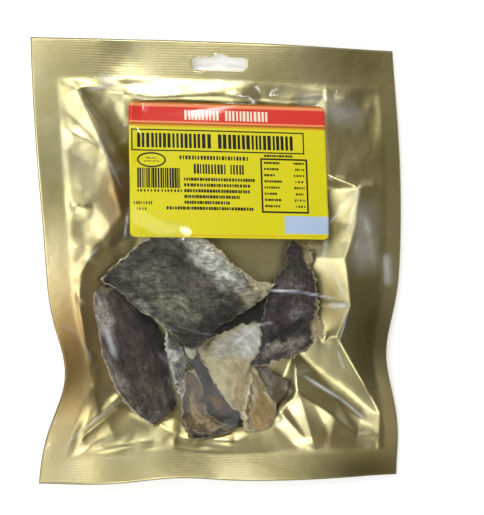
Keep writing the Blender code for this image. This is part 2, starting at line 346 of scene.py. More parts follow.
# lay is the height of a piece's middle line, crown how far it arches, fray how ragged its edges
# are, and rim_a and rim_b how wide its cream rim is. A patch is a colour, a place, a half length,
# a half width, a turn in degrees and a strength; most are the skin's own colours, and two on the
# top piece are painted sheen.
FISH = {
    "top_piece": {
        "edge_a": ((-67, -9), (-60, -2), (-52, 5), (-44, 11), (-35, 18), (-26, 23), (-18, 20), (-9, 14),
                   (-2, 9), (6, 0), (15, -7), (22, -11), (31, -12)),
        "edge_b": ((-67, -9), (-63, -12), (-55, -17), (-45, -26), (-36, -32), (-27, -39), (-21, -45),
                   (-16, -48), (-11, -45), (-3, -37), (7, -31), (16, -25), (23, -20), (27, -17), (31, -12)),
        "lay": (11.0, 16.0, 20.0, 20.5, 17.0), "crown": 2.6, "thick": 4.2, "fray": 0.7, "seed": 11,
        "base": "545248", "rim_a": (1.8, 1.8, 1.8, 2.0, 2.6, 3.4, 4.4, 7.0),
        "rim_b": (1.2, 0.6, 0.7, 0.4, 0.2, 0.2, 0.5, 6.0),
        "patches": (
            ("6f6d5f", -39, -7, 9.9, 7.7, 0, 0.55),
            ("39352e", -27, 3, 14.3, 3.9, -28, 0.7),
            # This patch and the next are painted sheen: the pale light that the clear film over the piece
            # reflects.
            ("c8c9bc", -3, 0, 17.5, 8.0, -40, 0.9),
            ("cfcfc4", -11, 8, 7.6, 3.6, -40, 0.7),
            ("807d6a", -23, -24, 12.1, 6.6, -25, 0.75),
            ("6b6263", -13, -12, 6.6, 5.0, 0, 0.55),
            ("2d2b27", -4, -33, 18.7, 5.0, 38, 0.85),
            ("272724", -63, -10, 5.5, 3.9, 0, 0.85),
            ("85817a", -39, -29, 15.4, 2.2, -47, 0.75),
            ("a8a48c", 16, -20, 6.6, 5.0, 0, 0.7),
            ("d2c8a4", 23, -16, 6.6, 3.3, -30, 0.8),
            ("3c3833", -47, 0, 6.6, 4.4, 30, 0.6),
            ("4a443a", 6, -21, 6.6, 3.3, -30, 0.6),
            ("2b2823", -20, -41, 9.0, 5.5, -48, 0.7),
            ("35322b", -52, -12, 9.0, 2.4, -42, 0.7),
            ("ded6b8", 11, -2.5, 18.0, 1.5, -41, 0.9),
        ),
        "rim": "ecdfbc", "net": 0.75, "fibre": 1.0, "gloss": 0.6,
    },
    "left_piece": {
        "edge_a": ((-64, -11), (-69, -15), (-71, -20), (-70, -30), (-68, -41), (-66, -52), (-62, -63),
                   (-57, -74), (-51, -82), (-44, -88), (-38, -92)),
        "edge_b": ((-64, -11), (-56, -12), (-46, -22), (-36, -34), (-31, -46), (-29, -58), (-27, -70),
                   (-25, -82), (-31, -88), (-38, -92)),
        "lay": (8.0, 8.5, 9.0, 8.0, 5.5), "crown": 2.8, "thick": 3.6, "fray": 0.35, "seed": 23,
        "base": "40362f", "rim_a": (2.2, 1.0, 0.6, 0.8, 1.4, 2.0, 2.2, 2.2),
        "rim_b": (2.4, 0.8, 0.3, 0.3, 0.3, 0.3, 1.0, 2.0),
        "patches": (
            ("1b1817", -34, -46, 38.5, 6.1, -66, 0.95),
            ("9d938b", -66, -28, 14.3, 5.0, -75, 0.85),
            ("80766f", -58, -63, 18.7, 3.3, -62, 0.75),
            ("574b40", -41, -74, 9.9, 5.0, -60, 0.7),
            ("463d37", -51, -43, 18.7, 3.9, -68, 0.6),
            ("6f6662", -36, -86, 7.2, 3.3, 0, 0.7),
            ("5a584f", -31, -74, 5.0, 6.6, 0, 0.55),
            ("8a7e68", -62, -15, 6.6, 1.7, 12, 0.7),
        ),
        "rim": "cfc2a2", "net": 0.7, "fibre": 1.0, "gloss": 0.5,
    },
    "low_piece": {
        "edge_a": ((-19, -61), (-21, -72), (-22, -81), (-21, -89), (-17, -97), (-12, -100), (-3, -99),
                   (4, -97), (12, -94)),
        "edge_b": ((-19, -61), (-13, -62), (-9, -70), (-9, -77), (-5, -85), (3, -90), (12, -94)),
        "lay": (7.0, 6.5, 6.0, 5.5, 5.0), "crown": -1.8, "thick": 2.6, "fray": 0.6, "seed": 37,
        "base": "6a5a42", "rim_a": (0.6, 0.5, 0.5, 0.5), "rim_b": (2.4, 2.6, 2.2, 1.4, 1.0, 0.8),
        "patches": (
            ("4a4338", -20, -84, 10.0, 2.0, -88, 0.85),
            ("a08d68", -15, -84, 8.0, 2.0, -80, 0.8),
            ("9c8764", -9, -90, 7.0, 2.5, -30, 0.8),
            ("b39f7a", -3, -93, 4.0, 1.6, -20, 0.8),
            ("25221c", -8, -99, 14.0, 1.6, 4, 0.95),
            ("3a342a", 4, -96, 7.0, 1.4, 15, 0.9),
        ),
        "rim": "c8b790", "net": 0.8, "fibre": 0.5, "gloss": 0.55,
    },
    "low_piece_skin": {
        "edge_a": ((-23, -41), (-22, -50), (-18, -57), (-13, -64), (-10, -72), (-12, -78), (-8, -85),
                   (3, -92), (13, -94)),
        "edge_b": ((-23, -41), (-17, -46), (-13, -53), (-8, -58), (-5, -65), (0, -73), (7, -80), (12, -86),
                   (13, -94)),
        "lay": (9.0, 9.0, 9.0, 8.5, 8.0, 7.0), "crown": 1.4, "thick": 2.2, "fray": 0.8, "seed": 103,
        "base": "35301f", "rim_a": (0.3, 0.3, 0.4, 0.7, 0.9), "rim_b": (0.3, 0.4, 0.6, 0.9, 1.2, 0.9),
        "patches": (
            ("1d1f14", -12, -60, 18.0, 4.4, -62, 0.95),
            ("57474a", -4, -72, 3.0, 4.0, 20, 0.7),
            ("6e5432", -2, -79, 5.0, 3.4, -20, 0.85),
            ("4a3e3c", 4, -83, 4.0, 3.0, -30, 0.8),
            ("20231d", 9, -89, 6.0, 3.0, -45, 0.9),
            ("1c1a17", -7, -83, 6.0, 1.2, -50, 0.85),
        ),
        "rim": "a79f8c", "net": 1.0, "fibre": 0.3, "gloss": 0.5,
    },
    "pale_piece": {
        "edge_a": ((-13, -48), (-8, -59), (0, -73), (5, -81), (11, -85), (14, -94), (18, -97), (24, -96)),
        "edge_b": ((-13, -48), (-9, -42), (-3, -37.5), (5, -34), (13, -31.5), (20, -32.5), (24, -36),
                   (27, -45), (19, -57), (22, -64), (28, -76), (32, -81), (31, -92), (24, -96)),
        "lay": (10.5, 11.0, 10.5, 9.0, 6.5), "crown": 1.4, "thick": 3.0, "fray": 0.7, "seed": 41,
        "base": "b3a883", "rim_a": (0.8, 1.2, 1.4, 1.4, 1.4), "rim_b": (0.8, 0.8, 0.6, 0.6, 0.8, 1.2, 1.4),
        "patches": (
            ("c2b888", -1, -59, 5.0, 10.0, 0, 0.7),
            ("b09c76", 12, -72, 6.0, 14.0, 0, 0.7),
            ("9a8254", 25, -82, 7.5, 14.0, 0, 0.9),
            ("d4d4cd", 17, -44, 11.0, 9.0, 10, 0.95),
            ("aeaca2", 3, -47, 9.0, 5.5, 30, 0.8),
            ("5c574c", -8, -47, 5.0, 1.4, 40, 0.75),
            ("4d4c40", 4, -35.5, 15.0, 1.6, 24, 0.85),
            ("b08e60", 25, -91, 6.0, 3.0, 0, 0.7),
            ("5c4c36", 17, -75, 17.0, 0.8, 86, 0.85),
            ("d6c8a2", 15.5, -78, 14.0, 0.7, 84, 0.8),
            ("d4cba8", 27, -76, 5.5, 1.3, -50, 0.85),
            ("8a7a58", 20, -66, 5.0, 1.0, -70, 0.7),
        ),
        "rim": "ddd4b2", "net": 0.3, "fibre": 0.4, "gloss": 0.6,
    },
    "right_piece": {
        "edge_a": ((41, 13), (37, 6), (37, -2), (31, -10), (28, -16), (25, -22), (24, -30), (22, -38),
                   (23, -44), (20, -52), (16, -58)),
        "edge_b": ((41, 13), (46, 8), (48, 0), (52, -5), (54, -14), (55, -25), (51, -34), (52, -43),
                   (49, -50), (40, -54), (30, -57), (22, -59), (16, -58)),
        "lay": (13.0, 14.5, 15.0, 14.5, 13.0), "crown": 1.8, "thick": 4.0, "fray": 0.9, "seed": 53,
        "base": "443c3c", "rim_a": (0.4, 0.3, 0.3, 0.3, 0.3, 0.3, 0.3, 0.4),
        "rim_b": (0.6, 0.8, 1.0, 1.0, 1.2, 1.8, 2.4, 1.2),
        "patches": (
            ("1b1a17", 15, -28, 18.7, 3.9, 38, 0.95),
            ("4f4347", 36, -21, 9.9, 6.6, 40, 0.6),
            ("938b80", 36, -47, 14.3, 3.3, 20, 0.8),
            ("807a76", 45, -28, 5.5, 3.9, 0, 0.7),
            ("45433a", 41, -2, 5.0, 6.6, 0, 0.6),
            ("1d1a19", 38, -37, 14.3, 2.4, 32, 0.9),
            ("8b8078", 40, -13, 8.0, 1.0, -8, 0.7),
            ("262122", 33, -27, 8.0, 1.6, 60, 0.7),
            ("655c5c", 39, -12, 6.6, 3.9, 0, 0.55),
            ("8f8574", 45, -50, 7.7, 1.7, 20, 0.7),
        ),
        "rim": "beb196", "net": 1.0, "fibre": 0.5, "gloss": 0.5,
    },
    "right_piece_fold": {
        "edge_a": ((31, -11), (21, -16), (12, -22), (3, -28), (-4, -35), (-9, -44)),
        "edge_b": ((31, -11), (31, -24), (24, -32), (14, -35), (5, -39), (-3, -43), (-9, -44)),
        "lay": (13.5, 13.0, 12.5, 12.0, 11.5), "crown": 0.8, "thick": 2.2, "fray": 0.8, "seed": 97,
        "base": "24211e", "rim_a": (0.3, 0.3), "rim_b": (0.5, 0.6, 0.5, 0.6),
        "patches": (
            ("151412", 14, -26, 14.0, 3.0, 36, 0.8),
            ("4a4240", 26, -24, 3.0, 3.0, 0, 0.5),
        ),
        "rim": "6f675a", "net": 0.6, "fibre": 0.3, "gloss": 0.5,
    },
    "small_piece": {
        "edge_a": ((17, -57), (26, -61), (33, -65), (39, -69), (38, -74), (36, -77)),
        "edge_b": ((17, -57), (22, -66), (26, -74), (30, -81), (34, -80), (36, -77)),
        "lay": (8.5, 8.0, 7.5, 7.0, 6.0), "crown": 1.4, "thick": 2.6, "fray": 0.4, "seed": 67,
        "base": "665842", "rim_a": (0.5, 0.5, 0.6, 0.6), "rim_b": (0.6, 0.8, 1.0, 1.0),
        "patches": (
            ("75665a", 32, -67, 6.6, 4.4, -35, 0.7),
            ("bcb192", 24, -72, 7.7, 1.0, -58, 0.85),
            ("7d735a", 39, -71, 3.9, 3.3, 0, 0.7),
            ("8a6f55", 18, -59, 4.4, 2.2, -30, 0.6),
        ),
        "rim": "b4a98a", "net": 0.4, "fibre": 0.6, "gloss": 0.55,
    },
    "flap_piece": {
        "edge_a": ((47, 11), (45, -4), (47, -24), (47, -38), (53, -46)),
        "edge_b": ((47, 11), (53, 6), (53, -3), (56, -14), (57, -28), (59, -40), (53, -46)),
        "lay": (9.0, 9.0, 9.0, 8.5, 8.0), "crown": 0.8, "thick": 1.8, "fray": 1.0, "seed": 71,
        "base": "b5a780", "rim_a": (0.5, 0.5), "rim_b": (1.4, 1.6, 1.6, 1.4),
        "patches": (
            ("b9ab86", 53, -34, 3.3, 7.7, 0, 0.7),
            ("6d5f40", 55, -22, 2.8, 6.6, 0, 0.6),
            ("c9bd98", 53, -48, 3.3, 3.3, 0, 0.7),
        ),
        "rim": "ddd2ae", "net": 0.5, "fibre": 0.6, "gloss": 0.6,
    },
    "ruffle_piece": {
        "edge_a": ((-31, -36), (-31, -46), (-29, -54), (-27, -62), (-25, -70), (-22, -77)),
        "edge_b": ((-31, -36), (-25, -42), (-21, -50), (-20, -58), (-20, -66), (-20, -72), (-22, -77)),
        "lay": (12.0, 12.0, 11.0, 10.5, 9.5), "crown": 1.6, "thick": 2.4, "fray": 0.8, "seed": 83,
        "base": "8a857a", "rim_a": (1.8, 2.0, 1.6, 2.0, 2.6), "rim_b": (1.0, 1.2, 1.2, 1.8),
        "patches": (
            ("1f1c1a", -26, -49, 2.2, 1.6, 60, 0.95),
            ("241f1d", -24, -57, 1.8, 3.0, 10, 0.95),
            ("2a2421", -25, -66, 1.5, 2.6, 0, 0.9),
            ("c6c3b8", -27, -52, 3.9, 2.8, 0, 0.8),
            ("3a3733", -27, -43, 3.3, 2.2, 0, 0.7),
            ("4a4540", -22, -61, 2.8, 4.4, 0, 0.7),
            ("d0cec2", -25, -76, 2.2, 2.8, 0, 0.8),
            ("8a7d62", -20, -69, 2.2, 5.5, 0, 0.6),
        ),
        "rim": "dedbd0", "net": 1.0, "fibre": 0.2, "gloss": 0.55,
    },
    "flake_piece": {
        "edge_a": ((-20, -45), (-20, -49), (-18, -53), (-15, -54)),
        "edge_b": ((-20, -45), (-15.5, -46), (-13.5, -50), (-15, -54)),
        "lay": (12.5, 12.5, 12.5, 12.0, 11.5), "crown": 0.6, "thick": 1.6, "fray": 0.3, "seed": 89,
        "base": "bdb9a0", "rim_a": (0.5, 0.5), "rim_b": (0.5, 0.5), "patches": (),
        "rim": "d6d0b4", "net": 0.2, "fibre": 0.5, "gloss": 0.6,
    },
}


def smooth_path(points, steps):
    """A soft curve through the points, even in arc length: Catmull-Rom between each pair."""
    p = np.array(points, float)
    ends = np.concatenate([[2 * p[0] - p[1]], p, [2 * p[-1] - p[-2]]])
    t = np.linspace(0, 1, 24, endpoint=False)[:, None, None]
    a, b, c, d = ends[:-3], ends[1:-2], ends[2:-1], ends[3:]
    curve = 0.5 * (2 * b + (c - a) * t + (2 * a - 5 * b + 4 * c - d) * t**2 + (3 * b - a - 3 * c + d) * t**3)
    curve = np.concatenate([curve.transpose(1, 0, 2).reshape(-1, p.shape[1]), p[-1:]])
    length = np.concatenate([[0], np.cumsum(np.hypot(*np.diff(curve[:, :2], axis=0).T))])
    at = np.linspace(0, length[-1], steps)
    return np.stack([np.interp(at, length, curve[:, k]) for k in range(p.shape[1])], 1)


def even_steps(values, s):
    """Values that are given at even steps of a piece, at each of its places s from 0 to 1."""
    return np.interp(s, np.linspace(0, 1, len(values)), values)


def turned(x, y, degrees):
    """Places measured along a line that is turned from x by so many degrees, and aside from it."""
    c = math.cos(math.radians(degrees))
    s = math.sin(math.radians(degrees))
    return x * c + y * s, y * c - x * s


def painted(x, y, base, patches, seed):
    """Colours of a skin: its base, with soft ragged ovals laid over it one after another."""
    wander_x = x + 1.7 * lattice_noise(x, y, 5.0, seed) + 0.9 * lattice_noise(x, y, 2.0, seed + 1)
    wander_y = y + 1.7 * lattice_noise(x, y, 5.0, seed + 2) + 0.9 * lattice_noise(x, y, 2.0, seed + 3)
    colour = np.broadcast_to(np.array(linear(base)), x.shape + (4,)).copy()
    for tone, at_x, at_y, half_long, half_wide, turn, strength in patches:
        along, aside = turned(wander_x - at_x, wander_y - at_y, turn)
        ratio = np.hypot(along / half_long, aside / half_wide)
        share = strength * np.clip((1.4 - ratio) / 0.75, 0, 1)[..., None]
        colour = colour * (1 - share) + np.array(linear(tone)) * share
    return colour * SKIN_GAIN


def dried_piece(facts):
    """A curled leaf: along it from tip to tip, and round it over the top and back below.

    Across the leaf a point lies between the two torn edges by the cosine of the angle round it,
    and its thickness is the sine to a small power, which keeps it flat with rounded edges.
    """
    seed = facts["seed"]
    edge_a = smooth_path(facts["edge_a"], FISH_ALONG)
    edge_b = smooth_path(facts["edge_b"], FISH_ALONG)
    s = np.linspace(0, 1, FISH_ALONG)
    ends_hold = np.clip(np.minimum(s, 1 - s) * 25, 0, 1)
    for edge, side in ((edge_a, 0.0), (edge_b, 40.0)):
        run = np.gradient(edge, axis=0)
        run /= np.hypot(*run.T)[:, None] + 1e-9
        torn = lattice_noise(s * 150 + side, s * 0, 4.0, seed)
        torn = torn + 0.6 * lattice_noise(s * 150 + side, s * 0, 1.6, seed + 1)
        edge += np.stack([-run[:, 1], run[:, 0]], 1) * (torn * facts["fray"] * ends_hold)[:, None]
    lay = even_steps(facts["lay"], s)
    lay = np.convolve(np.pad(lay, 20, mode="edge"), np.hanning(41) / np.hanning(41).sum(), "valid")
    angle = np.linspace(0, 2 * math.pi, FISH_AROUND, endpoint=False)
    t = np.cos(angle)[None, :]
    side = np.sin(angle)[None, :]
    middle = (edge_a + edge_b) / 2
    half = (edge_b - edge_a) / 2
    x = middle[:, :1] + half[:, :1] * t
    y = middle[:, 1:] + half[:, 1:] * t
    half_wide = np.hypot(half[:, 0], half[:, 1])[:, None]
    taper = np.clip(half_wide / 3.0, 0.12, 1.0)
    relief = 0.9 * lattice_noise(x, y, 11.0, seed + 2) + 0.55 * lattice_noise(x, y, 4.5, seed + 3)
    relief = relief + 0.28 * lattice_noise(x, y, 2.0, seed + 4)
    curl = 0.9 * lattice_noise(s[:, None] * 90 + 7 * t, 9 * np.sign(t) + 0 * s[:, None], 13.0, seed + 5)
    z = lay[:, None] - facts["crown"] * (t**2 - 0.4) + (0.5 + facts["net"]) * relief * taper + curl * t**2
    z = z + 0.5 * facts["thick"] * taper * np.sign(side) * np.abs(side) ** 0.45
    points = np.stack([x, y, z], -1)
    corner = np.arange(FISH_ALONG * FISH_AROUND).reshape(FISH_ALONG, FISH_AROUND)
    faces = cell_corners(np.concatenate([corner, corner[:, :1]], 1))
    rim_a = 1 - (1 + t) * half_wide / even_steps(facts["rim_a"], s)[:, None]
    rim_b = 1 - (1 - t) * half_wide / even_steps(facts["rim_b"], s)[:, None]
    rim = np.clip(np.maximum(rim_a, rim_b), 0, 1)
    along = np.broadcast_to(s[:, None] * np.sum(np.hypot(*np.diff(middle, axis=0).T)), x.shape)
    flow = np.stack([along, half_wide * t, 0 * x], -1) * MM
    return points, faces, rim, flow


def face_outwards(made):
    """Turns a closed mesh's faces outwards, after its doubled points at the tips are merged."""
    bm = bmesh.new()
    bm.from_mesh(made.data)
    bmesh.ops.remove_doubles(bm, verts=bm.verts, dist=0.00002)
    bmesh.ops.recalc_face_normals(bm, faces=bm.faces)
    bm.to_mesh(made.data)
    bm.free()


def store(made, name, kind, values):
    """Keeps a number, a direction or a colour for each point of a mesh, for its material to read."""
    layer = made.data.attributes.new(name, kind, "POINT")
    field = {"FLOAT": "value", "FLOAT_VECTOR": "vector", "FLOAT_COLOR": "color"}[kind]
    layer.data.foreach_set(field, np.ascontiguousarray(values, np.float32).ravel())


def stored(tree, name, kind="Fac"):
    """What a mesh keeps under a name for each point, read as a number, a direction or a colour."""
    return add(tree, "ShaderNodeAttribute", attribute_name=name).outputs[kind]


def noise(tree, place, scale, detail, roughness=0.5, **inputs):
    """A noise node at a place: its detail is how many finer layers it has, and roughness their weight."""
    layers = {"Vector": place, "Scale": scale, "Detail": detail, "Roughness": roughness, **inputs}
    return add(tree, "ShaderNodeTexNoise", layers)


def worked(tree, operation, *numbers):
    """The result of a sum, product or power of values or sockets."""
    return add(tree, "ShaderNodeMath", dict(enumerate(numbers)), operation=operation).outputs[0]


def scaled(tree, colour, noise_value, low, high):
    """A colour times a factor that goes from low to high with the noise."""
    factor = spread(tree, noise_value, 0.32, 0.68, low, high)
    return add(tree, "ShaderNodeVectorMath", {0: colour, "Scale": factor}, operation="SCALE").outputs[0]


def fish_material(name, facts):
    """Dried cod: the painted skin, broken by a dark net and pale fibres, and a fibrous cream rim.

    net is how strong the skin's mottling is, fibre how far streaks run along the piece, and gloss
    the roughness of the skin.
    """
    made, tree = new_material(name)
    place = add(tree, "ShaderNodeTexCoord").outputs["Object"]
    skin = stored(tree, "skin", "Color")
    rim_share = stored(tree, "rim")
    flow = stored(tree, "flow", "Vector")
    blotch = noise(tree, place, 260.0, 6.0, 0.72)
    mottle = blotch.outputs["Fac"]
    fine = noise(tree, place, 900.0, 3.0, 0.7).outputs["Fac"]
    bend = add(tree, "ShaderNodeVectorMath", {0: blotch.outputs["Color"], "Scale": 0.006}, operation="SCALE")
    bent = add(tree, "ShaderNodeVectorMath", {0: place, 1: bend.outputs[0]}, operation="ADD")
    pocket = add(tree, "ShaderNodeTexVoronoi", {"Vector": bent.outputs[0], "Scale": 430.0})
    drawn = add(tree, "ShaderNodeMapping", {"Vector": flow, "Scale": (0.26, 1.0, 1.0)}).outputs[0]
    streak = noise(tree, drawn, 900.0, 4.0, 0.65).outputs["Fac"]
    dragged = add(tree, "ShaderNodeMapping", {"Vector": flow, "Scale": (0.3, 1.0, 1.0)}).outputs[0]
    smear = noise(tree, dragged, 330.0, 5.0, 0.6, Distortion=0.6).outputs["Fac"]
    net = facts["net"]
    fibre = facts["fibre"]
    colour = scaled(tree, skin, mottle, 1 - 0.70 * net, 1 + 0.70 * net)
    colour = scaled(tree, colour, fine, 1 - 0.34 * net, 1 + 0.34 * net)
    colour = scaled(tree, colour, pocket.outputs["Distance"], 1 + 0.12 * net, 1 - 0.22 * net)
    colour = scaled(tree, colour, streak, 1 - 0.36 * fibre, 1 + 0.36 * fibre)
    colour = scaled(tree, colour, smear, 1 - 0.62 * fibre, 1 + 0.62 * fibre)
    cream = np.array(linear(facts["rim"]))
    pale = mixed(tree, spread(tree, streak, 0.32, 0.68), tuple(0.6 * cream), tuple(1.1 * cream))
    ragged = worked(tree, "ADD", rim_share, spread(tree, mottle, 0.3, 0.7, -0.65, 0.9))
    on_rim = spread(tree, ragged, 0.40, 0.70)
    near_edge = spread(tree, rim_share, 0.0, 0.15)
    mask = worked(tree, "MULTIPLY", on_rim, near_edge)
    ribs = worked(tree, "ADD", worked(tree, "ADD", fine, mottle), streak)
    bumps = add(tree, "ShaderNodeBump", {"Height": ribs, "Strength": 0.8, "Distance": 0.0011})
    solid_surface(
        tree,
        {
            "Base Color": mixed(tree, mask, colour, pale),
            "Roughness": facts["gloss"],
            "Specular IOR Level": 0.35,
            "Normal": bumps.outputs[0],
        },
    )
    return made


ROOM_TALL = 270
ROOM_WIDE = 230
ROOM_TOP = np.zeros((ROOM_TALL, ROOM_WIDE))
ROOM_LOW = np.full((ROOM_TALL, ROOM_WIDE), 99.0)


def room_cells(x, y):
    """Row and column of each place's square millimetre in the fields of heights round the fish."""
    row = np.clip(np.round(y + ROOM_TALL / 2), 0, ROOM_TALL - 1).astype(int)
    column = np.clip(np.round(x + ROOM_WIDE / 2), 0, ROOM_WIDE - 1).astype(int)
    return row, column


for name, facts in FISH.items():
    points, faces, rim, flow = dried_piece(facts)
    cells = room_cells(points[..., 0], points[..., 1])
    np.maximum.at(ROOM_TOP, cells, points[..., 2])
    np.minimum.at(ROOM_LOW, cells, points[..., 2])
    piece = put_mesh(name, points.reshape(-1, 3), faces, fish_material("dried_cod_" + name, facts))
    store(piece, "rim", "FLOAT", rim)
    store(piece, "flow", "FLOAT_VECTOR", flow)
    skin = painted(points[..., 0], points[..., 1], facts["base"], facts["patches"], facts["seed"])
    store(piece, "skin", "FLOAT_COLOR", skin)
    face_outwards(piece)
    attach(piece, "root")
    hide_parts("pouch")


# The gold back: polyester film with a vapour coat of aluminium under amber lacquer. It lies on the
# table, held flat under the fish, and rises to the welded border all round. Both films are limp but
# don't stretch, so what the drawn-in edges leave over goes into folds.
LEVELS = (8, 4, 2, 1)
SWEEPS = (300, 240, 120, 40)
THREAD_STEPS = ((0, 1, 1.0), (1, 0, 1.0), (1, 1, 0.5), (1, -1, 0.5), (0, 2, 0.35), (2, 0, 0.35))
FOLD_GIVE = 0.985
SWAY = 0.9
FILM_STIFF = 0.03
BACK_PUSH = -0.0005
BACK_SEED = 15


def threads(rows, columns, down, right):
    """Pairs of grid points that step by (down, right), in groups that share no point."""
    pairs = []
    if down == 0:
        for start in range(2 * right):
            a = (slice(None), slice(start, columns - right, 2 * right))
            pairs.append((a, (slice(None), slice(start + right, columns, 2 * right))))
    elif right == 0:
        for start in range(2 * down):
            a = (slice(start, rows - down, 2 * down), slice(None))
            pairs.append((a, (slice(start + down, rows, 2 * down), slice(None))))
    else:
        near = slice(0, columns - 1) if right > 0 else slice(1, columns)
        far = slice(1, columns) if right > 0 else slice(0, columns - 1)
        for start in range(2):
            pairs.append(((slice(start, rows - 1, 2), near), (slice(start + 1, rows, 2), far)))
    return pairs


def settle(points, rest, give, held, stiff, push, limits, sweeps):
    """Lets a sheet settle: it drifts by push, its threads keep their length, and limits holds it off.

    Each thread's length is its length on the smooth sheet rest, times the give at its ends. Two
    steps in line may fold but not stretch out flat. stiff eases the heights towards the smooth
    sheet's form, held are its fixed points, and limits gives the lowest and the highest height.
    """
    rows, columns = points.shape[:2]
    fixed = points[held]
    before = points.copy()
    sets = []
    for down, right, hold in THREAD_STEPS:
        only_push = down + right == 2 and down * right == 0
        for a, b in threads(rows, columns, down, right):
            length = np.linalg.norm(rest[b] - rest[a], axis=-1) * (give[a] + give[b]) / 2
            sets.append((a, b, length * (FOLD_GIVE if only_push else 1.0), hold, only_push))
    for sweep in range(sweeps):
        drift = (points - before) * SWAY
        before = points.copy()
        points = points + drift
        points[..., 2] += push
        for a, b, length, hold, only_push in sets:
            run = points[b] - points[a]
            now = np.sqrt(np.sum(run * run, axis=-1)) + 1e-6
            error = (now - length) / now * (0.5 * hold)
            if only_push:
                error = np.minimum(error, 0.0)
            step = run * error[..., None]
            points[a] += step
            points[b] -= step
        off = points[..., 2] - rest[..., 2]
        around = (off[:-2, 1:-1] + off[2:, 1:-1] + off[1:-1, :-2] + off[1:-1, 2:]) / 4
        points[1:-1, 1:-1, 2] += stiff[1:-1, 1:-1] * (around - off[1:-1, 1:-1])
        low, high = limits(points[..., 0], points[..., 1])
        points[..., 2] = np.clip(points[..., 2], low, high)
        points[held] = fixed
    return points


def finer(grid):
    """A grid with a new line midway between each two."""
    rows, columns = grid.shape[:2]
    wide = np.empty((rows, 2 * columns - 1) + grid.shape[2:])
    wide[:, ::2] = grid
    wide[:, 1::2] = (grid[:, 1:] + grid[:, :-1]) / 2
    tall = np.empty((2 * rows - 1, 2 * columns - 1) + grid.shape[2:])
    tall[::2] = wide
    tall[1::2] = (wide[1:] + wide[:-1]) / 2
    return tall


def settled_film(start_height, spare, stiffness, push, limits, seed):
    """A film's places on the full grid: it starts from a smooth height and settles at four scales."""
    points = None
    for level, sweeps in zip(LEVELS, SWEEPS):
        x = PLAN_X[::level, ::level]
        y = PLAN_Y[::level, ::level]
        inside = INSIDE[::level, ::level]
        held = inside <= 1e-5
        rest = np.stack([x, y, start_height(x, y, inside)], -1)
        give = 1 + spare(x, y) * np.clip(inside / 10, 0, 1)
        if points is None:
            points = rest.copy()
            points[..., 2] += 0.5 * lattice_noise(x, y, 22.0, seed) * (~held)
        else:
            points = finer(points)
            points[held] = rest[held]
        points = settle(points, rest, give, held, stiffness(x, y), push / level, limits, sweeps)
    return points


def room_at(field, x, y):
    """The height field's value at each place, from its nearest millimetre."""
    return field[room_cells(x, y)]


def widened(field, reach, pick):
    """Each cell's highest or lowest neighbour within reach."""
    out = field.copy()
    for dy in range(-reach, reach + 1):
        for dx in range(-reach, reach + 1):
            out = pick(out, np.roll(np.roll(field, dy, 0), dx, 1))
    return out


def softened(field, times):
    """A height field with each cell eased to its neighbours' mean, so many times."""
    for _ in range(times):
        around = np.roll(field, 1, 0) + np.roll(field, -1, 0) + np.roll(field, 1, 1) + np.roll(field, -1, 1)
        field = 0.5 * field + 0.125 * around
    return field


BACK_RUN = 48.0
BACK_LOW = 0.35
BACK_LOWEST = 0.2
BACK_HIGHEST = 12.0
UNDER_FISH = 0.4
# A fold runs from one place to another. Its heights are the front's and the back's, and the last
# number is its half width.
FOLDS = (
    ((61, 11), (75, -25), 1.2, 0.0, 8),
    ((75, -25), (67, -43), 1.2, 0.0, 8),
    ((67, -43), (93, -88), 1.2, 0.0, 8),
    ((43, -69), (54, -106), 3.6, 3.4, 10),
    ((31, -82), (50, -103), 2.8, 2.4, 7),
    ((45, -70), (89, -95), 2.6, 1.8, 8),
    ((45, -54), (73, -90), 2.6, 2.6, 14),
    ((50, -15), (75, -25), 1.4, 0.6, 7),
    ((29, -17), (60, -21), 1.1, 0.0, 3),
    ((6, -46), (18, -35), 1.1, 0.0, 3),
    ((-62, -35), (-59, -53), 1.1, 0.0, 3),
    ((-84, 104), (-54, 58), 4.0, 3.6, 14),
    ((-91, 78), (-60, 60), 3.0, 2.4, 10),
    ((-93, 34), (-73, 31), 3.0, 2.4, 9),
    ((-69, 9), (-91, 10), 2.2, 1.4, 7),
    ((-69, 9), (-71, 0), 1.5, 0.8, 5),
    ((-74, 0), (-82, -10), 1.6, 1.0, 5),
    ((-92, -33), (-77, -41), 2.2, 1.6, 6),
    ((-83, -16), (-74, -22), 1.6, 1.0, 5),
    ((-80, -49), (-70, -56), 2.0, 1.4, 5),
    ((-70, -56), (-70, -70), 1.8, 1.2, 4),
    ((-55, -73), (-95, -108), 5.0, 4.6, 12),
    ((-73, -106), (-26, -98), 1.6, 1.4, 6),
    ((-26, -98), (-26, -110), 2.2, 1.8, 7),
    ((-26, -98), (12, -103), 1.6, 1.4, 6),
    ((-42, 92), (3, 98), 1.0, 0.8, 8),
    ((81, 43), (61, 21), 1.8, 0.8, 9),
    ((81, 43), (72, 14), 1.8, 1.2, 8),
    ((81, 43), (91, 44), 1.4, 1.0, 5),
    ((61, 46), (81, 43), 1.6, 1.0, 8),
    ((69, 95), (91, 88), 1.4, 1.0, 8),
    ((-54, 103), (-53, 79), 1.4, 1.0, 6),
    ((87, 24), (94, -12), 1.8, 1.2, 5),
)
FOLD_POWER = 4
BACK_FOLD_SHARE = 0.65
CREST_FALL = 0.40
